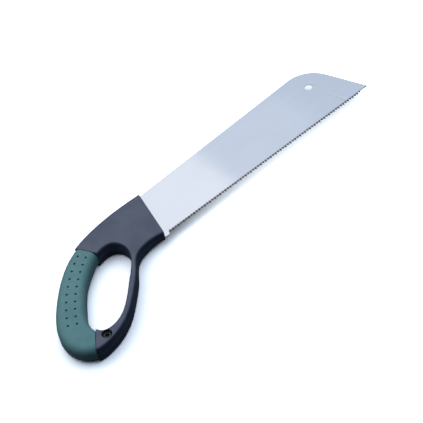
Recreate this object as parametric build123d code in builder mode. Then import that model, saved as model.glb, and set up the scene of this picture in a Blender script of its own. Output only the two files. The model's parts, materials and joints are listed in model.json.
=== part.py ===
"""Hand saw with a closed D handle, a soft grip sleeve and a clamped, removable blade.

The saw lies on its left side: X runs from the handle to the tip of the blade, Y from the teeth to the
spine, Z up through the thickness. The model is drawn with the first tooth of the heel at X 0, Y 0 and
the middle of the blade at Z 0, and is moved at the end so that the bottom centre of its box is the origin.
Lengths are millimetres.
"""

import os
from math import radians, tan

from build123d import *

os.makedirs("parts", exist_ok=True)

# Blade
TOOTH_PITCH = 3.63  # seven teeth to the inch
TOOTH_COUNT = 77
TOOTH_DEPTH = 3.0
TOOTH_TIP_HEIGHT = 0.2  # tips of the teeth, measured across the blade
HEEL_BOTTOM = -1.2  # lower edge of the plain heel between the nose and the first tooth
HEEL_STEP_X = -1.8  # where the plain heel ends
BLADE_THICKNESS = 0.7
HEEL_WIDTH = 64.4  # tooth line to spine, where the spine meets the nose of the handle
SPINE_SLOPE = 3.0  # degrees by which the spine climbs towards the tip
TIP_CORNER_HEIGHT = 78.0  # tooth line to the corner of spine and tip, before its rounding
TIP_RAKE = 19.0  # degrees by which the front edge leans back
TOE_LENGTH = 11.2  # plain edge between the last tooth and the tip
TOE_RISE = 2.3
TIP_CORNER_RADIUS = 36.0
TOE_CORNER_RADIUS = 1.5
HANG_HOLE_DIAMETER = 8.6
HANG_HOLE_FROM_TIP = 44.8
HANG_HOLE_HEIGHT = 50.8

# Tang, the narrow tail of the blade inside the handle
TANG_WIDTH = 22.0
TANG_HEIGHT = 43.0  # tooth line to the middle of the tang
TANG_REAR = -52.0
TANG_SLOT_CLEARANCE = 0.3  # screw shank to each side of its slot
BLADE_SIDE_CLEARANCE = 0.3  # blade to handle, at its edges
BLADE_FACE_CLEARANCE = 0.08  # blade to handle, at each face

# Handle
HANDLE_LENGTH = 178.3  # spine corner of the nose to the back of the grip
HANDLE_DEPTH = 136.0  # spine corner of the nose to the underside of the foot
HANDLE_THICKNESS = 21.0
NOSE_THICKNESS = 10.0
NOSE_RAKE = 15.0  # degrees by which the front of the nose leans
NOSE_CORNER_X = 10.0  # spine corner of the nose
NOSE_CORNER_Y = 64.8
NOSE_SLOPE = 4.0  # degrees by which each face of the nose falls towards the blade
NOSE_SLOPE_END = -80.0  # where the faces of the handle run level
NOSE_CHAMFER = 1.2
BACK_ROUNDING = 3.2
BOW_ROUNDING = 2.4
BOW_ROUNDING_SHARE = 0.44  # of the thickness of the bow in plan, the most its rounding may take
PARTING_CHAMFER = 0.3

# Grip sleeve
SLEEVE_WALL = 3.0
SLEEVE_END_GAP = 0.7  # groove between each end of the sleeve and the shells
CORE_OVERRUN = 5.0  # how far the core runs on into the shells past the ends of the sleeve
SLEEVE_OUTER_ROUNDING = 7.5
SLEEVE_INNER_ROUNDING = 8.0
DIMPLE_ROWS = 10
DIMPLE_SPACING = 9.0
DIMPLE_DIAMETER = 2.6
DIMPLE_DEPTH = 1.8

# Foot screw, which clamps the shells where the bow meets the grip
FOOT_THREAD = 5.0
FOOT_HEAD_DIAMETER = 8.5
FOOT_HEAD_HEIGHT = 3.5
FOOT_KEY = 4.0  # across the flats of its socket
FOOT_KEY_DEPTH = 2.4
FOOT_SINK = 2.6  # face of the handle down to the top of the head
FOOT_RECESS_DIAMETER = 11.0
FOOT_WASHER_DIAMETER = 10.0
FOOT_WASHER_THICKNESS = 1.0
FOOT_NUT_ACROSS_FLATS = 8.0
FOOT_NUT_HEIGHT = 4.0
FOOT_NUT_SINK = 2.0  # face of the handle up to the face of the nut
FOOT_THREAD_PROUD = 0.8  # end of the screw beyond the nut

# Tang screws, which clamp the tang between the shells
TANG_SCREWS = {"front": -14.0, "rear": -40.0}
TANG_THREAD = 4.0
TANG_SCREW_LENGTH = 8.0
TANG_HEAD_DIAMETER = 7.0
TANG_HEAD_HEIGHT = 2.2
TANG_KEY = 2.5
TANG_KEY_DEPTH = 1.3
TANG_SEAT = 3.2  # parting face down to the seat of the washers
TANG_RECESS_DIAMETER = 9.4
TANG_WASHER_DIAMETER = 9.0
TANG_WASHER_THICKNESS = 0.8
INSERT_DIAMETER = 5.6
INSERT_LENGTH = 3.6
INSERT_SINK = 0.8  # parting face up to the near end of an insert

SHANK_CLEARANCE = 0.2  # screw shank to its holes, on the radius
THREAD_CLEARANCE = 0.05  # screw thread to its nut or insert, on the radius
NUT_CLEARANCE = 0.05  # nut to each wall of its pocket
SCREW_END_CHAMFER = 0.5

HALF = HANDLE_THICKNESS / 2
SLOT_HALF = BLADE_THICKNESS / 2 + BLADE_FACE_CLEARANCE
DRAWN_LENGTH = 178.3
DRAWN_DEPTH = 136.0
DRAWN_CORNER = (10.0, 64.8)  # spine corner of the nose, as the outline is drawn
FAR = 400.0  # beyond the whole saw, for the sketches that cut
AHEAD = 20.0  # cuts at the nose start this far in front of it
OVERRUN = 1.0  # of a cut past the end it opens
NEAR = 0.1  # window in X round a corner that is picked
ON_CURVE = 0.01  # a rim edge lies at most this far from its curve in plan
NOSE_FRONT_ZONE = (-2.0, 5.0)  # X of the front edges of the nose
LONG_EDGE = 60.0  # edges longer than this run along the handle


def handle_point(x, y):
    """A point of the handle's outline, drawn from the spine corner of the nose, at the handle's own size."""
    return (
        NOSE_CORNER_X + (x - DRAWN_CORNER[0]) * HANDLE_LENGTH / DRAWN_LENGTH,
        NOSE_CORNER_Y + (y - DRAWN_CORNER[1]) * HANDLE_DEPTH / DRAWN_DEPTH,
    )


def nose_front_x(y, gap=0.0):
    """Where the leaning front of the nose stands at height y, moved forward by gap."""
    return NOSE_CORNER_X - (NOSE_CORNER_Y - y) * tan(radians(NOSE_RAKE)) + gap


# Outline of the handle, from the spine corner of the nose round the grip, the foot and the bow, to the
# lower corner of the nose
BACK_AND_BOW = [
    handle_point(x, y)
    for x, y in [
        (10, 64.8), (-25, 62.6), (-57, 57.8), (-86, 50), (-106, 39.8), (-126, 24), (-145, 4.2),
        (-161, -18.2), (-168, -40), (-164, -59), (-152, -70), (-136, -71), (-117, -66.2), (-98, -55.8), (-78.5, -39.1),
        (-60.3, -20.4), (-45.5, -3.9), (-33, 0.9),
    ]
]
nose_low_y = handle_point(-7.2, 0.6)[1]
BACK_AND_BOW.append((nose_front_x(nose_low_y), nose_low_y))
# Finger opening, clockwise from its top end
OPENING = [
    handle_point(x, y)
    for x, y in [
        (-62, 28.8), (-51.6, 23.6), (-48.5, 10.5), (-54.3, -3.8), (-74.2, -25.9), (-97, -47.4),
        (-118, -57.6), (-131.3, -55.4), (-135.4, -42), (-124.5, -18.5), (-107, 3.6), (-88, 19),
    ]
]
# Lines where the sleeve ends, each from the back of the handle to the finger opening and a little beyond
TOP_JOINT = [handle_point(-88.2, 54.8), handle_point(-71.4, 21.6)]
FOOT_JOINT = [handle_point(-132.2, -45.6), handle_point(-154.6, -76.4)]
DIMPLE_LINE = [handle_point(-88.2, 34.4), handle_point(-122.3, 6.5), handle_point(-148.3, -29.3)]
FOOT_SCREW_AT = handle_point(-131.5, -63)


def spine_y(x):
    return HEEL_WIDTH + (x - NOSE_CORNER_X) * tan(radians(SPINE_SLOPE))


def face_height(x):
    """Half thickness of the handle where its faces fall towards the nose."""
    return NOSE_THICKNESS / 2 + (NOSE_CORNER_X - x) * tan(radians(NOSE_SLOPE))


# ---------------------------------------------------------------- blade
teeth_end = TOOTH_COUNT * TOOTH_PITCH
tip_x = teeth_end + TOE_LENGTH
front_top_x = tip_x - (TIP_CORNER_HEIGHT - TOE_RISE) * tan(radians(TIP_RAKE))
gullet_height = TOOTH_TIP_HEIGHT + TOOTH_DEPTH
tooth_points = []
for tooth in range(TOOTH_COUNT):
    tooth_points.append((tooth * TOOTH_PITCH, gullet_height))
    tooth_points.append(((tooth + 0.5) * TOOTH_PITCH, TOOTH_TIP_HEIGHT))
tang_low = TANG_HEIGHT - TANG_WIDTH / 2
tang_high = TANG_HEIGHT + TANG_WIDTH / 2

with BuildPart() as blade:
    with BuildSketch(Plane.XY.offset(-BLADE_THICKNESS / 2)):
        with BuildLine():
            Polyline(
                (nose_front_x(HEEL_BOTTOM, BLADE_SIDE_CLEARANCE), HEEL_BOTTOM),
                (HEEL_STEP_X, HEEL_BOTTOM),
                *tooth_points,
                (teeth_end, gullet_height),
                (tip_x, TOE_RISE),
                (front_top_x, spine_y(front_top_x)),
                (nose_front_x(HEEL_WIDTH, BLADE_SIDE_CLEARANCE), spine_y(NOSE_CORNER_X)),
                close=True,
            )
        make_face()
        spine_corner = vertices().filter_by_position(Axis.X, front_top_x - NEAR, front_top_x + NEAR)
        fillet(spine_corner, TIP_CORNER_RADIUS)
        toe_corner = vertices().filter_by_position(Axis.X, tip_x - NEAR, tip_x + NEAR)
        fillet(toe_corner, TOE_CORNER_RADIUS)
    extrude(amount=BLADE_THICKNESS)
    # The tang, with one slot, open to the rear, that slides past the tang screws
    with BuildSketch(Plane.XY.offset(-BLADE_THICKNESS / 2)):
        with BuildLine():
            Polyline(
                (TANG_REAR, tang_low),
                (nose_front_x(tang_low, BLADE_SIDE_CLEARANCE), tang_low),
                (nose_front_x(tang_high, BLADE_SIDE_CLEARANCE), tang_high),
                (TANG_REAR, tang_high),
                close=True,
            )
        make_face()
    extrude(amount=BLADE_THICKNESS)
    slot_width = TANG_THREAD + 2 * TANG_SLOT_CLEARANCE
    slot_length = TANG_SCREWS["front"] - TANG_REAR
    with BuildSketch(Plane.XY):
        with Locations((TANG_SCREWS["front"], TANG_HEIGHT)):
            Circle(slot_width / 2)
        with Locations((TANG_REAR - OVERRUN, TANG_HEIGHT)):
            Rectangle(slot_length + OVERRUN, slot_width, align=(Align.MIN, Align.CENTER))
    extrude(amount=BLADE_THICKNESS, both=True, mode=Mode.SUBTRACT)
    with Locations((tip_x - HANG_HOLE_FROM_TIP, HANG_HOLE_HEIGHT)):
        Hole(HANG_HOLE_DIAMETER / 2)
blade.part.label = "blade"

# ---------------------------------------------------------------- handle outline
with BuildSketch() as outline:
    with BuildLine():
        Spline(*BACK_AND_BOW)
        Line(BACK_AND_BOW[-1], BACK_AND_BOW[0])
    make_face()
with BuildSketch() as opening:
    with BuildLine():
        Spline(*OPENING, periodic=True)
    make_face()
# The bow is the thinnest wall of the handle, and its two roundings leave a little of its face flat
bow_wall = outline.edges().sort_by(SortBy.LENGTH)[-1].distance_to(opening.edges()[0])
bow_rounding = min(BOW_ROUNDING, BOW_ROUNDING_SHARE * bow_wall)
# Everything behind the two joints belongs to the sleeve
with BuildSketch() as sleeve_zone:
    with BuildLine():
        Polyline(*TOP_JOINT, *FOOT_JOINT, (-FAR, -FAR), (-FAR, FAR), close=True)
    make_face()


# Side view of what is cut away above the falling face of the nose
with BuildSketch(Plane.XZ.offset(-FAR)) as above_nose:
    with BuildLine():
        fall_start = (NOSE_CORNER_X + AHEAD, face_height(NOSE_CORNER_X + AHEAD))
        fall_direction = (-1, tan(radians(NOSE_SLOPE)))
        Spline(fall_start, (NOSE_SLOPE_END, HALF), tangents=[fall_direction, (-1, 0)])
        Polyline((NOSE_SLOPE_END, HALF), (NOSE_SLOPE_END, FAR), (fall_start[0], FAR), fall_start)
    make_face()


def rim_edges(edges, plan, on_back):
    """Edges of the top face that follow a curve of the plan, on the back of the handle or below it."""
    curves = plan.edges().filter_by(GeomType.BSPLINE)
    found = []
    for edge in edges.filter_by(GeomType.LINE, reverse=True):
        middle = edge @ 0.5
        over_curve = curves.sort_by_distance(middle)[0].distance_to(Vector(middle.X, middle.Y)) < ON_CURVE
        if over_curve and middle.Z > NOSE_THICKNESS / 2 - OVERRUN and (middle.Y > TANG_HEIGHT) == on_back:
            found.append(edge)
    return found


# ---------------------------------------------------------------- hard handle, two shells
with BuildSketch() as sleeve_plan:
    add(outline.sketch)
    add(opening.sketch, mode=Mode.SUBTRACT)
    add(sleeve_zone.sketch, mode=Mode.INTERSECT)
    add(offset(sleeve_zone.sketch, -SLEEVE_END_GAP, mode=Mode.PRIVATE), mode=Mode.INTERSECT)
grip_front, grip_back = sleeve_plan.edges().filter_by(GeomType.BSPLINE).sort_by(SortBy.LENGTH)


def inset_points(curve, inset, overrun, count=9):
    """Points along a curve of the grip, moved into the grip by inset and carried on past both its ends."""
    middle = (grip_front @ 0.5 + grip_back @ 0.5) / 2
    side = 1 if (curve % 0.5).cross(middle - curve @ 0.5).Z > 0 else -1
    points = []
    for step in range(count):
        share = step / (count - 1)
        along = curve % share
        ahead = overrun * (1 if share == 1 else -1 if share == 0 else 0)
        across = Vector(-along.Y, along.X) * inset * side
        points.append(curve @ share + across + along * ahead)
    return points


# The core is the narrower spine of the shells that runs on inside the sleeve
with BuildSketch() as core_plan:
    with BuildLine():
        back_points = inset_points(grip_back, SLEEVE_WALL, CORE_OVERRUN)
        front_points = inset_points(grip_front, SLEEVE_WALL, CORE_OVERRUN)
        if (back_points[-1] - front_points[0]).length > (back_points[-1] - front_points[-1]).length:
            front_points.reverse()
        Spline(*back_points)
        Spline(*front_points)
        Line(back_points[-1], front_points[0])
        Line(front_points[-1], back_points[0])
    make_face()

# Plan of the slot that takes the tang, half in each shell and open at the nose
with BuildSketch() as tang_slot:
    with BuildLine():
        Polyline(
            (TANG_REAR - BLADE_SIDE_CLEARANCE, tang_low - BLADE_SIDE_CLEARANCE),
            (NOSE_CORNER_X + AHEAD, tang_low - BLADE_SIDE_CLEARANCE),
            (NOSE_CORNER_X + AHEAD, tang_high + BLADE_SIDE_CLEARANCE),
            (TANG_REAR - BLADE_SIDE_CLEARANCE, tang_high + BLADE_SIDE_CLEARANCE),
            close=True,
        )
    make_face()

# Half of the hard handle, the pattern for both shells
with BuildPart() as half_shell:
    with BuildSketch():
        add(outline.sketch)
        add(opening.sketch, mode=Mode.SUBTRACT)
        add(sleeve_zone.sketch, mode=Mode.SUBTRACT)
    extrude(amount=HALF)
    extrude(above_nose.sketch, amount=2 * FAR, mode=Mode.SUBTRACT)
    front_edges = edges().filter_by(GeomType.LINE).filter_by_position(Axis.X, *NOSE_FRONT_ZONE)
    chamfer(front_edges.sort_by(Axis.Z)[-1], NOSE_CHAMFER)
    fillet(rim_edges(edges(), outline, on_back=True), BACK_ROUNDING)
    fillet(rim_edges(edges(), outline, on_back=False), bow_rounding)
    fillet(rim_edges(edges(), opening, on_back=False), bow_rounding)
    with BuildSketch():
        add(core_plan.sketch)
    extrude(amount=HALF - SLEEVE_WALL)
    # Long edges of the parting face on the bare shells, in front of the sleeve
    parting_edges = edges().filter_by(GeomType.BSPLINE).group_by(Axis.Z)[0]
    long_edges = [e for e in parting_edges if e.length > LONG_EDGE]
    bare_edges = [e for e in long_edges if e.position_at(0.5).X > DIMPLE_LINE[0][0]]
    chamfer(bare_edges, PARTING_CHAMFER)
    with BuildSketch():
        add(tang_slot.sketch)
    extrude(amount=SLOT_HALF, mode=Mode.SUBTRACT)
    with BuildSketch():
        with Locations(FOOT_SCREW_AT):
            Circle(FOOT_THREAD / 2 + SHANK_CLEARANCE)
    extrude(amount=HALF, mode=Mode.SUBTRACT)

tang_screw_points = [(x, TANG_HEIGHT) for x in TANG_SCREWS.values()]
foot_seat = HALF - FOOT_SINK - FOOT_HEAD_HEIGHT - FOOT_WASHER_THICKNESS

with BuildPart() as right_shell:
    add(half_shell.part)
    # Recess of the foot screw
    with BuildSketch(Plane.XY.offset(foot_seat)):
        with Locations(FOOT_SCREW_AT):
            Circle(FOOT_RECESS_DIAMETER / 2)
    extrude(amount=HALF, mode=Mode.SUBTRACT)
    # Blind holes for the threaded inserts
    with BuildSketch():
        with Locations(*tang_screw_points):
            Circle(INSERT_DIAMETER / 2)
    extrude(amount=INSERT_SINK + INSERT_LENGTH, mode=Mode.SUBTRACT)
right_shell.part.label = "right_shell"

with BuildPart() as left_shell:
    mirror(half_shell.part, about=Plane.XY)
    # Pocket that keeps the foot nut from turning
    with BuildSketch(Plane.XY.offset(-HALF)):
        with Locations(FOOT_SCREW_AT):
            RegularPolygon(FOOT_NUT_ACROSS_FLATS / 2 + NUT_CLEARANCE, 6, major_radius=False)
    extrude(amount=FOOT_NUT_SINK + FOOT_NUT_HEIGHT, mode=Mode.SUBTRACT)
    # Recesses and bores of the tang screws
    with BuildSketch(Plane.XY.offset(-TANG_SEAT)):
        with Locations(*tang_screw_points):
            Circle(TANG_RECESS_DIAMETER / 2)
    extrude(amount=-HALF, mode=Mode.SUBTRACT)
    with BuildSketch():
        with Locations(*tang_screw_points):
            Circle(TANG_THREAD / 2 + SHANK_CLEARANCE)
    extrude(amount=-HALF, mode=Mode.SUBTRACT)
left_shell.part.label = "left_shell"

# ---------------------------------------------------------------- soft grip
with BuildPart() as grip_sleeve:
    with BuildSketch():
        add(sleeve_plan.sketch)
    extrude(amount=HALF, both=True)
    front_rims, back_rims = edges().filter_by(GeomType.BSPLINE).group_by(SortBy.LENGTH)
    fillet(back_rims, SLEEVE_OUTER_ROUNDING)
    fillet(front_rims, SLEEVE_INNER_ROUNDING)
    with BuildSketch():
        add(core_plan.sketch)
    extrude(amount=HALF - SLEEVE_WALL, both=True, mode=Mode.SUBTRACT)
    # Two rows of dimples on each side
    dimple_curve = ThreePointArc(*DIMPLE_LINE, mode=Mode.PRIVATE)
    for row in range(DIMPLE_ROWS):
        share = row / (DIMPLE_ROWS - 1)
        along = dimple_curve % share
        across = Vector(-along.Y, along.X) * (DIMPLE_SPACING / 2)
        for centre in (dimple_curve @ share + across, dimple_curve @ share - across):
            for face in (HALF, -HALF):
                with Locations((centre.X, centre.Y, face)):
                    Cylinder(DIMPLE_DIAMETER / 2, 2 * DIMPLE_DEPTH, mode=Mode.SUBTRACT)
grip_sleeve.part.label = "grip_sleeve"


# ---------------------------------------------------------------- fasteners
def socket_screw(centre, head_top, upwards, thread, length, head_diameter, head_height, key, key_depth):
    """A low socket head screw whose head faces up or down, its shank a plain rod of the thread's size."""
    out = 1 if upwards else -1
    top = Plane(origin=(*centre, head_top), z_dir=(0, 0, out))
    with BuildPart(top) as screw:
        with BuildSketch(top):
            Circle(head_diameter / 2)
        extrude(amount=-head_height)
        rim_edge = screw.faces().sort_by(Axis.Z, reverse=upwards)[0].edges()
        chamfer(rim_edge, SCREW_END_CHAMFER)
        with BuildSketch(top.offset(-head_height)):
            Circle(thread / 2)
        extrude(amount=-length)
        end_edge = screw.faces().sort_by(Axis.Z, reverse=upwards)[-1].edges()
        chamfer(end_edge, SCREW_END_CHAMFER)
        with BuildSketch(top):
            RegularPolygon(key / 2, 6, major_radius=False)
        extrude(amount=-key_depth, mode=Mode.SUBTRACT)
    return screw.part


def ring(centre, bottom, height, outer_radius, inner_radius):
    """A washer or a plain insert."""
    with BuildPart() as tube:
        with BuildSketch(Plane.XY.offset(bottom)):
            with Locations(centre):
                Circle(outer_radius)
                Circle(inner_radius, mode=Mode.SUBTRACT)
        extrude(amount=height)
    return tube.part


foot_nut_face = -HALF + FOOT_NUT_SINK
foot_head_seat = foot_seat + FOOT_WASHER_THICKNESS
foot_screw = socket_screw(
    FOOT_SCREW_AT,
    foot_head_seat + FOOT_HEAD_HEIGHT,
    True,
    FOOT_THREAD,
    foot_head_seat - foot_nut_face + FOOT_THREAD_PROUD,
    FOOT_HEAD_DIAMETER,
    FOOT_HEAD_HEIGHT,
    FOOT_KEY,
    FOOT_KEY_DEPTH,
)
foot_screw.label = "foot_screw"
foot_washer = ring(
    FOOT_SCREW_AT,
    foot_seat,
    FOOT_WASHER_THICKNESS,
    FOOT_WASHER_DIAMETER / 2,
    FOOT_THREAD / 2 + SHANK_CLEARANCE,
)
foot_washer.label = "foot_washer"

with BuildPart() as foot_nut:
    with BuildSketch(Plane.XY.offset(foot_nut_face)):
        with Locations(FOOT_SCREW_AT):
            RegularPolygon(FOOT_NUT_ACROSS_FLATS / 2, 6, major_radius=False)
            Circle(FOOT_THREAD / 2 + THREAD_CLEARANCE, mode=Mode.SUBTRACT)
    extrude(amount=FOOT_NUT_HEIGHT)
foot_nut.part.label = "foot_nut"

pieces = [blade.part, right_shell.part, left_shell.part, grip_sleeve.part]
pieces += [foot_screw, foot_washer, foot_nut.part]
for name, x in TANG_SCREWS.items():
    centre = (x, TANG_HEIGHT)
    washer = ring(
        centre,
        -TANG_SEAT - TANG_WASHER_THICKNESS,
        TANG_WASHER_THICKNESS,
        TANG_WASHER_DIAMETER / 2,
        TANG_THREAD / 2 + SHANK_CLEARANCE,
    )
    washer.label = f"tang_washer_{name}"
    screw = socket_screw(
        centre,
        -TANG_SEAT - TANG_WASHER_THICKNESS - TANG_HEAD_HEIGHT,
        False,
        TANG_THREAD,
        TANG_SCREW_LENGTH,
        TANG_HEAD_DIAMETER,
        TANG_HEAD_HEIGHT,
        TANG_KEY,
        TANG_KEY_DEPTH,
    )
    screw.label = f"tang_screw_{name}"
    insert = ring(
        centre, INSERT_SINK, INSERT_LENGTH, INSERT_DIAMETER / 2, TANG_THREAD / 2 + THREAD_CLEARANCE
    )
    insert.label = f"tang_insert_{name}"
    pieces += [washer, screw, insert]

# ---------------------------------------------------------------- origin at the bottom centre of the box
box = Compound(pieces).bounding_box()
shift = Pos(-(box.min.X + box.max.X) / 2, -(box.min.Y + box.max.Y) / 2, -box.min.Z)
for piece in pieces:
    moved = shift * piece
    moved.label = piece.label
    export_step(moved, f"parts/{piece.label}.step")
print("origin moved by", shift.position)
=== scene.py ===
import json
from math import atan2, cos, pi, radians

import bmesh
import bpy
from mathutils import Matrix, Vector

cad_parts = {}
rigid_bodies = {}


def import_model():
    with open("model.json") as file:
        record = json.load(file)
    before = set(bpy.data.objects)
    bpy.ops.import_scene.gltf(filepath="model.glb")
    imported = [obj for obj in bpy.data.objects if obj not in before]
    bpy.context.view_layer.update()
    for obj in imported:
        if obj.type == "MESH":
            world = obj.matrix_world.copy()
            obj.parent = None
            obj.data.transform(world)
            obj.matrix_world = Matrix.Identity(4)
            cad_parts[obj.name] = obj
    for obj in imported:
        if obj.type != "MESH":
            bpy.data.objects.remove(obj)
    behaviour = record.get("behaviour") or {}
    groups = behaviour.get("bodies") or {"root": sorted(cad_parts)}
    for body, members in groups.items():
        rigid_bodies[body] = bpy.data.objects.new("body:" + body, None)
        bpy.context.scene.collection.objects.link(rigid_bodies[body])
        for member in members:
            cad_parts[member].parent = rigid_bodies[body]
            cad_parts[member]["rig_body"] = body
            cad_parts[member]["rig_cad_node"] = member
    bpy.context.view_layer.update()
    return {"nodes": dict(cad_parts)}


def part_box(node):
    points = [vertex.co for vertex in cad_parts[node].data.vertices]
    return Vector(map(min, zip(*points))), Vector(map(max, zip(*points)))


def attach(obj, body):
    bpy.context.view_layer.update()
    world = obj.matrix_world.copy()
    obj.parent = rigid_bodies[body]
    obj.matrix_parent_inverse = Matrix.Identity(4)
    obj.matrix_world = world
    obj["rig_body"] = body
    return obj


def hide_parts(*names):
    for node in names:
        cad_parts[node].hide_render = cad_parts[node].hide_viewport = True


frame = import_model()

# ---------------------------------------------------------------------------------------------------
# Blade: a plate of cold-rolled spring steel, ground to a satin face and lacquered. Its teeth are
# punched, set left and right in turn, filed at a slant and hardened, which leaves them blue-black.
# A slot in its tang slides past the tang screws.
TOOTH_PITCH = 0.00363
TOOTH_DEPTH = 0.0030
TOOTH_SET = 0.00016  # how far a tooth leans out to its side
TOOTH_FLEAM = 0.0007  # how much lower the inner corner of a filed tooth is than its point
HEEL_DROP = 0.0014  # tips of the teeth above the plain heel
POINT_MATCH = 0.0001  # a corner of the blade is the one looked for if it lies this close
PLATE_MATCH = 0.001  # more than half the blade's thickness
HEAT_WAVE = 0.0008  # how much further up the hardening reaches at the middle of a tooth
HEAT_RAGGED = 0.0005  # how uneven its edge is


def add_node(tree, kind, inputs=None, **settings):
    """Adds a shader node. An input is a plain value or the socket that feeds it."""
    made = tree.nodes.new(kind)
    for name, value in settings.items():
        setattr(made, name, value)
    for name, value in (inputs or {}).items():
        if isinstance(value, bpy.types.NodeSocket):
            tree.links.new(value, made.inputs[name])
        else:
            made.inputs[name].default_value = value
    return made


def new_material(name):
    """An empty material, and the object coordinates that its patterns read."""
    material = bpy.data.materials.new(name)
    material.use_nodes = True
    material.node_tree.nodes.clear()
    place = add_node(material.node_tree, "ShaderNodeTexCoord").outputs["Object"]
    return material, material.node_tree, place


def finish_material(tree, **inputs):
    """Ends a material with one Principled BSDF. The names of its inputs are given with underscores."""
    named = {name.replace("_", " "): value for name, value in inputs.items()}
    shader = add_node(tree, "ShaderNodeBsdfPrincipled", named)
    add_node(tree, "ShaderNodeOutputMaterial", {"Surface": shader.outputs["BSDF"]})


def new_group(name, inputs, outputs):
    """A shader node group. Inputs are {name: (socket type, default)}, outputs {name: socket type}."""
    group = bpy.data.node_groups.new(name, "ShaderNodeTree")
    for socket, (kind, default) in inputs.items():
        made = group.interface.new_socket(name=socket, in_out="INPUT", socket_type="NodeSocket" + kind)
        if default is not None:
            made.default_value = default
    for socket, kind in outputs.items():
        group.interface.new_socket(name=socket, in_out="OUTPUT", socket_type="NodeSocket" + kind)
    given = add_node(group, "NodeGroupInput").outputs
    results = add_node(group, "NodeGroupOutput").inputs
    return group, given, results


def use_group(tree, group, **inputs):
    """Places a node group in a material. The names of its inputs are given with underscores."""
    made = tree.nodes.new("ShaderNodeGroup")
    made.node_tree = group
    for name, value in inputs.items():
        socket = made.inputs[name.replace("_", " ")]
        if isinstance(value, bpy.types.NodeSocket):
            tree.links.new(value, socket)
        else:
            socket.default_value = value
    return made.outputs


def combine(tree, operation, first, second=0.0):
    """A math node on two values or sockets."""
    made = add_node(tree, "ShaderNodeMath", operation=operation)
    for socket, value in zip(made.inputs, (first, second)):
        if isinstance(value, bpy.types.NodeSocket):
            tree.links.new(value, socket)
        else:
            socket.default_value = value
    return made.outputs["Value"]


def blend_colours(tree, share, first, second):
    """Mixes two colours, each a tuple or a socket."""
    made = add_node(tree, "ShaderNodeMix", data_type="RGBA")
    for index, value in ((0, share), (6, first), (7, second)):
        if isinstance(value, bpy.types.NodeSocket):
            tree.links.new(value, made.inputs[index])
        elif index == 0:
            made.inputs[index].default_value = value
        else:
            made.inputs[index].default_value = (*value, 1.0)
    return made.outputs[2]


def between(tree, value, low, high, to_low=0.0, to_high=1.0):
    """Maps a value from low..high to another range, smoothly and clamped."""
    made = add_node(tree, "ShaderNodeMapRange", interpolation_type="SMOOTHSTEP")
    for name, bound in (("From Min", low), ("From Max", high), ("To Min", to_low), ("To Max", to_high)):
        made.inputs[name].default_value = bound
    tree.links.new(value, made.inputs["Value"])
    return made.outputs["Result"]


def stretched(tree, place, scale, turn=0.0):
    """The coordinates scaled by a different factor on each axis."""
    inputs = {"Vector": place, "Scale": scale, "Rotation": (0.0, 0.0, turn)}
    return add_node(tree, "ShaderNodeMapping", inputs).outputs["Vector"]


def noise(tree, place, scale, detail=2.0, roughness=0.5):
    inputs = {"Vector": place, "Scale": scale, "Detail": detail, "Roughness": roughness}
    return add_node(tree, "ShaderNodeTexNoise", inputs).outputs["Fac"]


def bump(tree, height, distance):
    inputs = {"Height": height, "Distance": distance}
    return add_node(tree, "ShaderNodeBump", inputs).outputs["Normal"]


# Fine lines that a grinding belt or a lathe tool leaves, along X of the coordinates that it is given
grinding, given, results = new_group(
    "grinding_lines",
    {"Vector": ("Vector", None), "Lines": ("Float", 3000.0), "Length": ("Float", 12.0)},
    {"Height": "Float", "Streaks": "Float"},
)
line_scales = {"X": given["Length"], "Y": given["Lines"], "Z": 1.0}
line_scale = add_node(grinding, "ShaderNodeCombineXYZ", line_scales)
line_place = add_node(grinding, "ShaderNodeVectorMath", operation="MULTIPLY")
grinding.links.new(given["Vector"], line_place.inputs[0])
grinding.links.new(line_scale.outputs["Vector"], line_place.inputs[1])
fine_lines = noise(grinding, line_place.outputs["Vector"], 1.0, 3.0, 0.6)
broad_lines = noise(grinding, line_place.outputs["Vector"], 0.16, 2.0)
grinding.links.new(fine_lines, results["Height"])
grinding.links.new(broad_lines, results["Streaks"])

# Marks of use: dull smears, and sparse thin scratches in two directions
use_marks, given, results = new_group(
    "use_marks",
    {"Vector": ("Vector", None), "Smear Scale": ("Float", 20.0), "Scratch Scale": ("Float", 90.0)},
    {"Smears": "Float", "Scratches": "Float"},
)
smears = add_node(use_marks, "ShaderNodeTexNoise", {"Detail": 5.0, "Roughness": 0.62, "Distortion": 0.4})
use_marks.links.new(given["Vector"], smears.inputs["Vector"])
use_marks.links.new(given["Smear Scale"], smears.inputs["Scale"])
use_marks.links.new(between(use_marks, smears.outputs["Fac"], 0.38, 0.66), results["Smears"])
scratches = []
for turn in (0.35, -0.9):
    scratch_place = stretched(use_marks, given["Vector"], (1.0, 14.0, 3.0), turn)
    cells = add_node(
        use_marks, "ShaderNodeTexVoronoi", {"Vector": scratch_place}, feature="DISTANCE_TO_EDGE"
    )
    use_marks.links.new(given["Scratch Scale"], cells.inputs["Scale"])
    thin = between(use_marks, cells.outputs["Distance"], 0.0, 0.012, 1.0, 0.0)
    some = between(use_marks, noise(use_marks, scratch_place, 11.0), 0.56, 0.62)
    scratches.append(combine(use_marks, "MULTIPLY", thin, some))
use_marks.links.new(combine(use_marks, "MAXIMUM", *scratches), results["Scratches"])

blade_low, blade_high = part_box("blade")
tip_line = blade_low[1] + HEEL_DROP
gullet_line = tip_line + TOOTH_DEPTH
blade_middle = (blade_low[2] + blade_high[2]) / 2


def deselect_all():
    if bpy.context.object and bpy.context.object.mode != "OBJECT":
        bpy.ops.object.mode_set(mode="OBJECT")
    bpy.ops.object.select_all(action="DESELECT")


def make_active(piece):
    deselect_all()
    piece.select_set(True)
    bpy.context.view_layer.objects.active = piece


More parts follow.
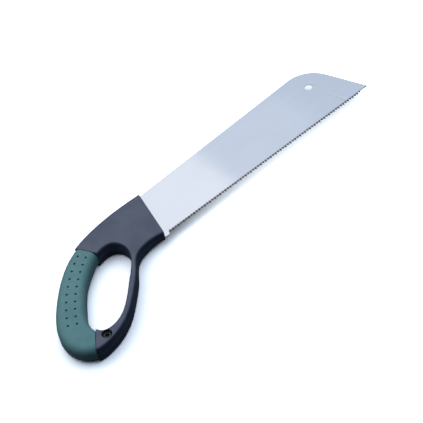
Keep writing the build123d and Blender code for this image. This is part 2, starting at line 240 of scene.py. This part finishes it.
def merged_copy(node, name):
    """A CAD node's mesh as a piece of its own, with its loose triangles joined."""
    piece = frame["nodes"][node].copy()
    piece.data = piece.data.copy()
    piece.parent = None
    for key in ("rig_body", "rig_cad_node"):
        del piece[key]
    piece.name = piece.data.name = name
    bpy.context.scene.collection.objects.link(piece)
    make_active(piece)
    bpy.ops.object.mode_set(mode="EDIT")
    bpy.ops.mesh.select_all(action="SELECT")
    bpy.ops.mesh.customdata_custom_splitnormals_clear()
    bpy.ops.mesh.remove_doubles(threshold=0.000002)
    bpy.ops.mesh.dissolve_limited(angle_limit=radians(0.2))
    bpy.ops.object.mode_set(mode="OBJECT")
    return piece


def select_points(piece, wanted):
    """Selects the vertices whose place passes the test, in edit mode."""
    make_active(piece)
    bpy.ops.object.mode_set(mode="EDIT")
    bpy.ops.mesh.select_mode(type="VERT")
    bpy.ops.mesh.select_all(action="DESELECT")
    mesh = bmesh.from_edit_mesh(piece.data)
    for vertex in mesh.verts:
        vertex.select = wanted(vertex.co)
    mesh.select_flush(True)
    bmesh.update_edit_mesh(piece.data)


saw_plate = merged_copy("blade", "saw_plate")
select_points(
    saw_plate,
    lambda p: abs(p.y - tip_line) < POINT_MATCH and abs(p.z - blade_middle) < PLATE_MATCH,
)
tips = sorted({round(v.co.x, 5) for v in bmesh.from_edit_mesh(saw_plate.data).verts if v.select})
first_tooth = tips[0] - TOOTH_PITCH / 2
for lean in (1, -1):
    leaning = tips[::2] if lean > 0 else tips[1::2]

    def tip_point(p, side):
        on_line = abs(p.y - tip_line) < POINT_MATCH
        on_tip = on_line and any(abs(p.x - x) < POINT_MATCH for x in leaning)
        return on_tip and (p.z - blade_middle) * side > 0

    select_points(saw_plate, lambda p: tip_point(p, -lean))
    bpy.ops.transform.translate(value=(0.0, TOOTH_FLEAM, lean * TOOTH_SET))
    select_points(saw_plate, lambda p: tip_point(p, lean))
    bpy.ops.transform.translate(value=(0.0, 0.0, lean * TOOTH_SET))
bpy.ops.object.mode_set(mode="OBJECT")

satin_steel, tree, place = new_material("satin_spring_steel")
lines = use_group(tree, grinding, Vector=place, Lines=5200.0, Length=26.0)
marks = use_group(tree, use_marks, Vector=place, Smear_Scale=16.0, Scratch_Scale=70.0)
axes = add_node(tree, "ShaderNodeSeparateXYZ", {"Vector": place}).outputs
# The heat of hardening reaches a little further up at the middle of each tooth than in the gullets
teeth_along = combine(tree, "DIVIDE", combine(tree, "SUBTRACT", axes["X"], tips[0]), TOOTH_PITCH / (2 * pi))
heat_reach = combine(tree, "MULTIPLY", combine(tree, "COSINE", teeth_along), HEAT_WAVE)
ragged = combine(tree, "MULTIPLY", noise(tree, place, 900.0, 3.0), HEAT_RAGGED)
above_teeth = combine(tree, "SUBTRACT", combine(tree, "SUBTRACT", axes["Y"], ragged), heat_reach)
past_heel = between(tree, axes["X"], first_tooth - 0.0006, first_tooth + 0.0002)
hardened = between(tree, above_teeth, gullet_line - 0.0009, gullet_line - 0.0003, 1.0, 0.0)
hardened = combine(tree, "MULTIPLY", hardened, past_heel)
tempered = between(tree, above_teeth, gullet_line - 0.0006, gullet_line + 0.0006, 1.0, 0.0)
tempered = combine(tree, "MULTIPLY", tempered, past_heel)
steel = blend_colours(tree, lines["Streaks"], (0.455, 0.485, 0.545), (0.50, 0.53, 0.59))
steel = blend_colours(tree, combine(tree, "MULTIPLY", marks["Smears"], 0.10), steel, (0.42, 0.445, 0.50))
steel = blend_colours(tree, combine(tree, "MULTIPLY", tempered, 0.3), steel, (0.20, 0.23, 0.32))
steel = blend_colours(tree, hardened, steel, (0.020, 0.024, 0.034))
dull = combine(tree, "MULTIPLY", marks["Smears"], 0.03)
steel_roughness = combine(tree, "ADD", between(tree, lines["Streaks"], 0.3, 0.7, 0.065, 0.085), dull)
scratch_depth = combine(tree, "MULTIPLY", marks["Scratches"], 0.5)
steel_height = combine(tree, "SUBTRACT", lines["Height"], scratch_depth)
finish_material(
    tree,
    Base_Color=steel,
    Metallic=between(tree, hardened, 0.0, 1.0, 1.0, 0.35),
    Roughness=combine(tree, "ADD", steel_roughness, combine(tree, "MULTIPLY", hardened, 0.26)),
    Normal=bump(tree, steel_height, 0.000006),
)
saw_plate.data.materials.clear()
saw_plate.data.materials.append(satin_steel)
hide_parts("blade")
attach(saw_plate, "blade")

# ---------------------------------------------------------------------------------------------------
# Shells: two halves of glass-filled polypropylene, moulded with a fine spark-eroded texture. They meet
# on the parting line, hold the tang between them and carry the grip sleeve on a narrower core.

# Texture of a spark-eroded mould: small shallow pits, and the slow mottle of the melt under them
mould_grain, given, results = new_group(
    "mould_grain",
    {"Vector": ("Vector", None), "Grain Scale": ("Float", 2600.0)},
    {"Height": "Float", "Mottle": "Float"},
)
pits = add_node(mould_grain, "ShaderNodeTexVoronoi", feature="SMOOTH_F1")
pits.inputs["Smoothness"].default_value = 0.6
mould_grain.links.new(given["Vector"], pits.inputs["Vector"])
mould_grain.links.new(given["Grain Scale"], pits.inputs["Scale"])
rubble = noise(mould_grain, given["Vector"], 1500.0, 4.0, 0.7)
mould_grain.links.new(combine(mould_grain, "ADD", pits.outputs["Distance"], rubble), results["Height"])
mould_grain.links.new(noise(mould_grain, given["Vector"], 45.0, 6.0, 0.65), results["Mottle"])

# Where hands polish a moulding, and where a painted highlight goes: the rounded rims between its faces and
# its walls, unevenly
rim_wear_and_highlight, given, results = new_group(
    "rim_wear_and_highlight",
    {"Vector": ("Vector", None), "Patch Scale": ("Float", 35.0)},
    {"Wear And Highlight": "Float"},
)
facing = add_node(rim_wear_and_highlight, "ShaderNodeTexCoord").outputs["Normal"]
steepness = add_node(rim_wear_and_highlight, "ShaderNodeSeparateXYZ", {"Vector": facing}).outputs["Z"]
steepness = combine(rim_wear_and_highlight, "ABSOLUTE", steepness)
leaving_face = between(rim_wear_and_highlight, steepness, 0.90, 0.99, 1.0, 0.0)
leaving_wall = between(rim_wear_and_highlight, steepness, 0.10, 0.60)
patches = add_node(rim_wear_and_highlight, "ShaderNodeTexNoise", {"Detail": 6.0, "Roughness": 0.7})
rim_wear_and_highlight.links.new(given["Vector"], patches.inputs["Vector"])
rim_wear_and_highlight.links.new(given["Patch Scale"], patches.inputs["Scale"])
on_rim = combine(rim_wear_and_highlight, "MULTIPLY", leaving_face, leaving_wall)
in_patch = between(rim_wear_and_highlight, patches.outputs["Fac"], 0.35, 0.65, 0.35, 1.0)
rim_wear_and_highlight.links.new(combine(rim_wear_and_highlight, "MULTIPLY", on_rim, in_patch), results["Wear And Highlight"])

shell_plastic, tree, place = new_material("grained_blue_black_plastic")
grain = use_group(tree, mould_grain, Vector=place, Grain_Scale=2300.0)
marks = use_group(tree, use_marks, Vector=place, Smear_Scale=28.0, Scratch_Scale=60.0)
speckle = noise(tree, place, 1900.0, 2.0, 0.8)
mottle = between(tree, grain["Mottle"], 0.35, 0.65)
plastic = blend_colours(tree, mottle, (0.047, 0.066, 0.120), (0.060, 0.083, 0.144))
plastic = blend_colours(tree, between(tree, speckle, 0.55, 0.75, 0.0, 0.5), plastic, (0.085, 0.098, 0.13))
scratched = combine(tree, "MULTIPLY", marks["Scratches"], 0.3)
plastic = blend_colours(tree, scratched, plastic, (0.12, 0.13, 0.16))
# Painted highlight on the rounded rims, partly real polish from hands: the rims are mixed towards a lighter
# blue and made glossier
wear_and_highlight = use_group(tree, rim_wear_and_highlight, Vector=place, Patch_Scale=40.0)["Wear And Highlight"]
plastic = blend_colours(tree, combine(tree, "MULTIPLY", wear_and_highlight, 0.35), plastic, (0.085, 0.105, 0.16))
plastic_roughness = between(tree, marks["Smears"], 0.0, 1.0, 0.46, 0.56)
finish_material(
    tree,
    Base_Color=plastic,
    Roughness=combine(tree, "SUBTRACT", plastic_roughness, combine(tree, "MULTIPLY", wear_and_highlight, 0.14)),
    IOR=1.58,
    Normal=bump(tree, grain["Height"], 0.00004),
)
for shell in ("right_shell", "left_shell"):
    for slot in frame["nodes"][shell].material_slots:
        slot.material = shell_plastic

# ---------------------------------------------------------------------------------------------------
# Grip sleeve: a soft thermoplastic elastomer moulded over the core of both shells, with two rows of
# dimples on each side that let the rubber give under the palm.
grip_rubber, tree, place = new_material("soft_green_elastomer")
grain = use_group(tree, mould_grain, Vector=place, Grain_Scale=1700.0)
marks = use_group(tree, use_marks, Vector=place, Smear_Scale=24.0, Scratch_Scale=50.0)
mottle = between(tree, grain["Mottle"], 0.3, 0.7)
rubber = blend_colours(tree, mottle, (0.094, 0.240, 0.268), (0.114, 0.288, 0.314))
smeared = combine(tree, "MULTIPLY", marks["Smears"], 0.25)
rubber = blend_colours(tree, smeared, rubber, (0.085, 0.21, 0.235))
flecks = noise(tree, place, 2600.0, 2.0, 0.8)
rubber = blend_colours(tree, between(tree, flecks, 0.58, 0.78, 0.0, 0.5), rubber, (0.15, 0.33, 0.35))
wear_and_highlight = use_group(tree, rim_wear_and_highlight, Vector=place, Patch_Scale=30.0)["Wear And Highlight"]
rubber_roughness = between(tree, marks["Smears"], 0.0, 1.0, 0.58, 0.70)
finish_material(
    tree,
    Base_Color=rubber,
    Roughness=combine(tree, "SUBTRACT", rubber_roughness, combine(tree, "MULTIPLY", wear_and_highlight, 0.12)),
    IOR=1.46,
    Sheen_Weight=0.12,
    Sheen_Roughness=0.5,
    Normal=bump(tree, grain["Height"], 0.00005),
)
for slot in frame["nodes"]["grip_sleeve"].material_slots:
    slot.material = grip_rubber

# ---------------------------------------------------------------------------------------------------
# Screws: cold-headed alloy steel with rolled threads, knurled on the rim of the head, broached for a
# hexagon key and blackened. One clamps the foot from the right side, two clamp the tang from the left.
black_oxide, tree, place = new_material("black_oxide_steel")
lines = use_group(tree, grinding, Vector=place, Lines=4000.0, Length=300.0)
marks = use_group(tree, use_marks, Vector=place, Smear_Scale=260.0, Scratch_Scale=400.0)
oxide = blend_colours(tree, marks["Smears"], (0.016, 0.017, 0.020), (0.030, 0.031, 0.034))
oxide = blend_colours(tree, combine(tree, "MULTIPLY", marks["Scratches"], 0.5), oxide, (0.16, 0.16, 0.17))
finish_material(
    tree,
    Base_Color=oxide,
    Metallic=0.7,
    Roughness=between(tree, marks["Smears"], 0.0, 1.0, 0.30, 0.44),
    Normal=bump(tree, lines["Height"], 0.00001),
)


# Sizes of the screws as shares of their pitch, thread, head and key
THREAD_END = 0.40  # radius of the end of the shank, of the thread
THREAD_ROOT = 0.405
THREAD_CREST = 0.5
FLANK = 0.42  # height of a flank, of the pitch
CREST_FLAT = 0.12
ROOT_FLAT = 0.04
LEAD_IN = 0.5
CROWN = 0.16  # rounding of the crown, of the head's height
KNURL_EDGE = 0.004  # of the head's diameter
KNURL_DEPTH = 0.012
SOCKET_LAND = 0.06  # flat round the drilled hollow, of the key
SOCKET_HOLLOW = 0.12
HOLLOW_POINT = 0.25
SHANK_SIDES = 40
HEAD_SIDES = 72
UPRIGHT = 0.9  # the Z of a normal that counts as facing up
LEVEL = 0.02  # and of one that counts as facing sideways
SMOOTH_ANGLE = radians(35)


def scale_flat(factor, centre):
    """Scales what is selected in X and Y about a centre."""
    bpy.ops.transform.resize(value=(factor, factor, 1.0), center_override=centre)


def rise(height):
    """Extrudes what is selected straight up or down."""
    bpy.ops.mesh.extrude_region_move(TRANSFORM_OT_translate={"value": (0.0, 0.0, height)})


def select_end_face(piece, facing):
    """Selects the end of an upright prism that faces up, or down, in edit mode."""
    bpy.ops.object.mode_set(mode="EDIT")
    bpy.ops.mesh.select_mode(type="FACE")
    bpy.ops.mesh.select_all(action="DESELECT")
    mesh = bmesh.from_edit_mesh(piece.data)
    for face in mesh.faces:
        face.select = face.normal.z * facing > UPRIGHT
    bmesh.update_edit_mesh(piece.data)


def cap_screw(node, facing, thread, pitch, length, head, key, key_depth):
    """A low cap screw in the place of a CAD one, with a knurled head, a hexagon socket and a thread.
    facing is 1 where its head looks up and -1 where it looks down. Sizes are diameters and lengths."""
    low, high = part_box(node)
    top = high[2] if facing > 0 else low[2]
    head_height = high[2] - low[2] - length
    x, y = (low[0] + high[0]) / 2, (low[1] + high[1]) / 2
    seat = top - facing * head_height
    centre = (x, y, seat)

    # Thread: level ridges, from a lead-in at its end up to the plain neck under the head
    deselect_all()
    end = seat - facing * length
    bpy.ops.mesh.primitive_circle_add(
        vertices=SHANK_SIDES,
        radius=thread * THREAD_END,
        fill_type="NGON",
        location=(x, y, end),
    )
    shank = bpy.context.object
    bpy.ops.object.mode_set(mode="EDIT")
    bpy.ops.mesh.select_all(action="SELECT")
    rise(facing * pitch * LEAD_IN)
    ridges = int((length - pitch * (1.0 + LEAD_IN)) / pitch)
    crest_growth = THREAD_CREST / THREAD_ROOT
    scale_flat(THREAD_ROOT / THREAD_END, centre)
    for _ in range(ridges):
        rise(facing * pitch * FLANK)
        scale_flat(crest_growth, centre)
        rise(facing * pitch * CREST_FLAT)
        rise(facing * pitch * FLANK)
        scale_flat(1.0 / crest_growth, centre)
        rise(facing * pitch * ROOT_FLAT)
    rise(facing * (length - pitch * (LEAD_IN + ridges)))
    bpy.ops.object.mode_set(mode="OBJECT")

    # Head: a knurled drum with a rounded crown
    deselect_all()
    middle = (x, y, seat + facing * head_height / 2)
    bpy.ops.mesh.primitive_cylinder_add(
        vertices=HEAD_SIDES,
        radius=head / 2,
        depth=head_height,
        location=middle,
    )
    drum = bpy.context.object
    select_end_face(drum, facing)
    bpy.ops.mesh.bevel(offset=head_height * CROWN, segments=4, affect="EDGES")
    bpy.ops.mesh.select_all(action="DESELECT")
    mesh = bmesh.from_edit_mesh(drum.data)
    sides = [face for face in mesh.faces if abs(face.normal.z) < LEVEL]
    sides.sort(key=lambda face: atan2(*face.calc_center_median().yx))
    for face in sides[::2]:
        face.select = True
    bmesh.update_edit_mesh(drum.data)
    bpy.ops.mesh.inset(thickness=head * KNURL_EDGE, depth=-head * KNURL_DEPTH, use_individual=True)
    bpy.ops.object.mode_set(mode="OBJECT")

    # Socket: a hexagon broached into the crown, with a drilled hollow at its bottom
    deselect_all()
    bpy.ops.mesh.primitive_cylinder_add(
        vertices=6,
        radius=key / 2 / cos(pi / 6),
        depth=2 * key_depth,
        location=(x, y, top),
        rotation=(0.0, 0.0, pi / 6),
    )
    broach = bpy.context.object
    select_end_face(broach, -facing)
    bpy.ops.mesh.inset(thickness=key * SOCKET_LAND)
    rise(-facing * key * SOCKET_HOLLOW)
    scale_flat(HOLLOW_POINT, (x, y, top))
    bpy.ops.object.mode_set(mode="OBJECT")
    make_active(drum)
    cut = drum.modifiers.new("socket", "BOOLEAN")
    cut.operation = "DIFFERENCE"
    cut.object = broach
    bpy.ops.object.modifier_apply(modifier=cut.name)
    bpy.data.objects.remove(broach)

    deselect_all()
    shank.select_set(True)
    drum.select_set(True)
    bpy.context.view_layer.objects.active = drum
    bpy.ops.object.join()
    bpy.ops.object.transform_apply(location=True, rotation=True, scale=True)
    bpy.ops.object.mode_set(mode="EDIT")
    bpy.ops.mesh.select_all(action="SELECT")
    bpy.ops.mesh.normals_make_consistent(inside=False)
    bpy.ops.object.mode_set(mode="OBJECT")
    bpy.ops.object.shade_smooth_by_angle(angle=SMOOTH_ANGLE)
    drum.name = drum.data.name = node + "_cut"
    drum.data.materials.clear()
    drum.data.materials.append(black_oxide)
    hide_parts(node)
    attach(drum, node)


cap_screw(
    "foot_screw",
    facing=1,
    thread=0.0050,
    pitch=0.0008,
    length=0.0137,
    head=0.0085,
    key=0.0040,
    key_depth=0.0024,
)
for end in ("front", "rear"):
    cap_screw(
        "tang_screw_" + end,
        facing=-1,
        thread=0.0040,
        pitch=0.0007,
        length=0.0080,
        head=0.0070,
        key=0.0025,
        key_depth=0.0013,
    )

# ---------------------------------------------------------------------------------------------------
# Washers, nut and inserts: the washers are stamped and the nut is forged, both from zinc-plated steel,
# and the inserts are turned brass, pressed into the right shell.
zinc_plate, tree, place = new_material("zinc_plated_steel")
marks = use_group(tree, use_marks, Vector=place, Smear_Scale=300.0, Scratch_Scale=500.0)
spangle = noise(tree, place, 1400.0, 3.0)
zinc = blend_colours(tree, spangle, (0.48, 0.50, 0.53), (0.62, 0.64, 0.66))
zinc = blend_colours(tree, combine(tree, "MULTIPLY", marks["Smears"], 0.3), zinc, (0.44, 0.42, 0.36))
finish_material(
    tree,
    Base_Color=zinc,
    Metallic=1.0,
    Roughness=between(tree, spangle, 0.3, 0.7, 0.26, 0.40),
    Normal=bump(tree, spangle, 0.00001),
)

brass, tree, place = new_material("turned_brass")
marks = use_group(tree, use_marks, Vector=place, Smear_Scale=300.0, Scratch_Scale=500.0)
brass_colour = blend_colours(tree, marks["Smears"], (0.66, 0.47, 0.20), (0.48, 0.32, 0.13))
finish_material(
    tree,
    Base_Color=brass_colour,
    Metallic=1.0,
    Roughness=between(tree, marks["Smears"], 0.0, 1.0, 0.25, 0.42),
    Normal=bump(tree, marks["Smears"], 0.00001),
)

hardware = {
    "foot_washer": zinc_plate,
    "foot_nut": zinc_plate,
    "tang_washer_front": zinc_plate,
    "tang_washer_rear": zinc_plate,
    "tang_insert_front": brass,
    "tang_insert_rear": brass,
}
for node, metal in hardware.items():
    for slot in frame["nodes"][node].material_slots:
        slot.material = metal

# ---------------------------------------------------------------------------------------------------
# Studio: a white sheet of paper under the saw, exposed so far that it burns out except in the shadows, a
# pale sky that is brightest overhead and behind, and two softboxes. The far edge of the one above the
# handle is the line across the blade.
CAMERA_LENS = 119.15
CAMERA_PLACE = (-0.55545, -0.85959, 1.06275)
CAMERA_LOOKING = Vector((0.37262, 0.58200, -0.72279))
CAMERA_UP = Vector((0.55051, 0.48840, 0.67706))
deselect_all()
bpy.ops.mesh.primitive_plane_add(size=6.0, location=(0.0, 0.0, 0.0))
paper = bpy.context.object
paper.name = "paper_floor"
paper_white, tree, place = new_material("white_paper")
fibres = noise(tree, place, 60.0, 4.0)
along = add_node(tree, "ShaderNodeSeparateXYZ", {"Vector": place}).outputs["X"]
# Painted light: the paper glows from none on the handle's side to strongly along the blade, so that the
# shadow under the blade fades out towards its tip
glow = between(tree, along, -0.12, 0.12, 0.0, 0.80)
# The camera sees the paper bright, and the saw is lit from below by much darker paper
seen = add_node(tree, "ShaderNodeBsdfPrincipled", {"Roughness": 0.95, "Emission Strength": glow})
seen.inputs["Emission Color"].default_value = (0.88, 0.94, 1.0, 1.0)
exposed_white = blend_colours(tree, fibres, (1.92, 2.04, 2.20), (1.96, 2.08, 2.24))
tree.links.new(exposed_white, seen.inputs["Base Color"])
bounced = add_node(tree, "ShaderNodeBsdfDiffuse", {"Color": (0.035, 0.042, 0.055, 1.0)})
path = add_node(tree, "ShaderNodeLightPath").outputs["Is Camera Ray"]
paper_mix = add_node(tree, "ShaderNodeMixShader", {"Fac": path})
tree.links.new(bounced.outputs["BSDF"], paper_mix.inputs[1])
tree.links.new(seen.outputs["BSDF"], paper_mix.inputs[2])
add_node(tree, "ShaderNodeOutputMaterial", {"Surface": paper_mix.outputs["Shader"]})
paper.data.materials.append(paper_white)

sky = bpy.data.worlds.new("pale_sky")
sky.use_nodes = True
tree = sky.node_tree
direction = add_node(tree, "ShaderNodeTexCoord").outputs["Generated"]
towards_back = add_node(tree, "ShaderNodeVectorMath", operation="DOT_PRODUCT")
towards_back.inputs[1].default_value = (0.54, 0.84, 0.0)
tree.links.new(direction, towards_back.inputs[0])
upward = add_node(tree, "ShaderNodeSeparateXYZ", {"Vector": direction}).outputs["Z"]
overhead = between(tree, upward, 0.15, 0.7, 0.02, 1.25)
behind = between(tree, towards_back.outputs["Value"], -0.7, 0.35, 0.10, 1.0)
background = tree.nodes["Background"]
background.inputs["Color"].default_value = (0.82, 0.90, 1.0, 1.0)
tree.links.new(combine(tree, "MULTIPLY", overhead, behind), background.inputs["Strength"])
bpy.context.scene.world = sky


def softbox(name, low, high, height, power, colour):
    """A level rectangular light between two corners, facing down."""
    light = bpy.data.lights.new(name, "AREA")
    light.shape = "RECTANGLE"
    light.size = high[0] - low[0]
    light.size_y = high[1] - low[1]
    light.energy = power
    light.color = colour
    lamp = bpy.data.objects.new(name, light)
    lamp.location = ((low[0] + high[0]) / 2, (low[1] + high[1]) / 2, height)
    lamp.visible_camera = False
    bpy.context.scene.collection.objects.link(lamp)


softbox("handle_softbox", (-0.6, 0.05), (0.277, 0.85), 0.45, 0.85, (1.0, 0.82, 0.64))
softbox("blade_softbox", (-0.9, -0.1), (0.82, 1.7), 1.0, 1.3, (1.0, 0.84, 0.70))

camera_data = bpy.data.cameras.new("camera")
camera_data.lens = CAMERA_LENS
camera_data.sensor_width = 36.0
camera = bpy.data.objects.new("camera", camera_data)
camera_axes = (CAMERA_LOOKING.cross(CAMERA_UP), CAMERA_UP, -CAMERA_LOOKING)
camera.matrix_world = Matrix(camera_axes).transposed().to_4x4()
camera.location = CAMERA_PLACE
bpy.context.scene.collection.objects.link(camera)
bpy.context.scene.camera = camera
bpy.context.scene.view_settings.view_transform = "Standard"
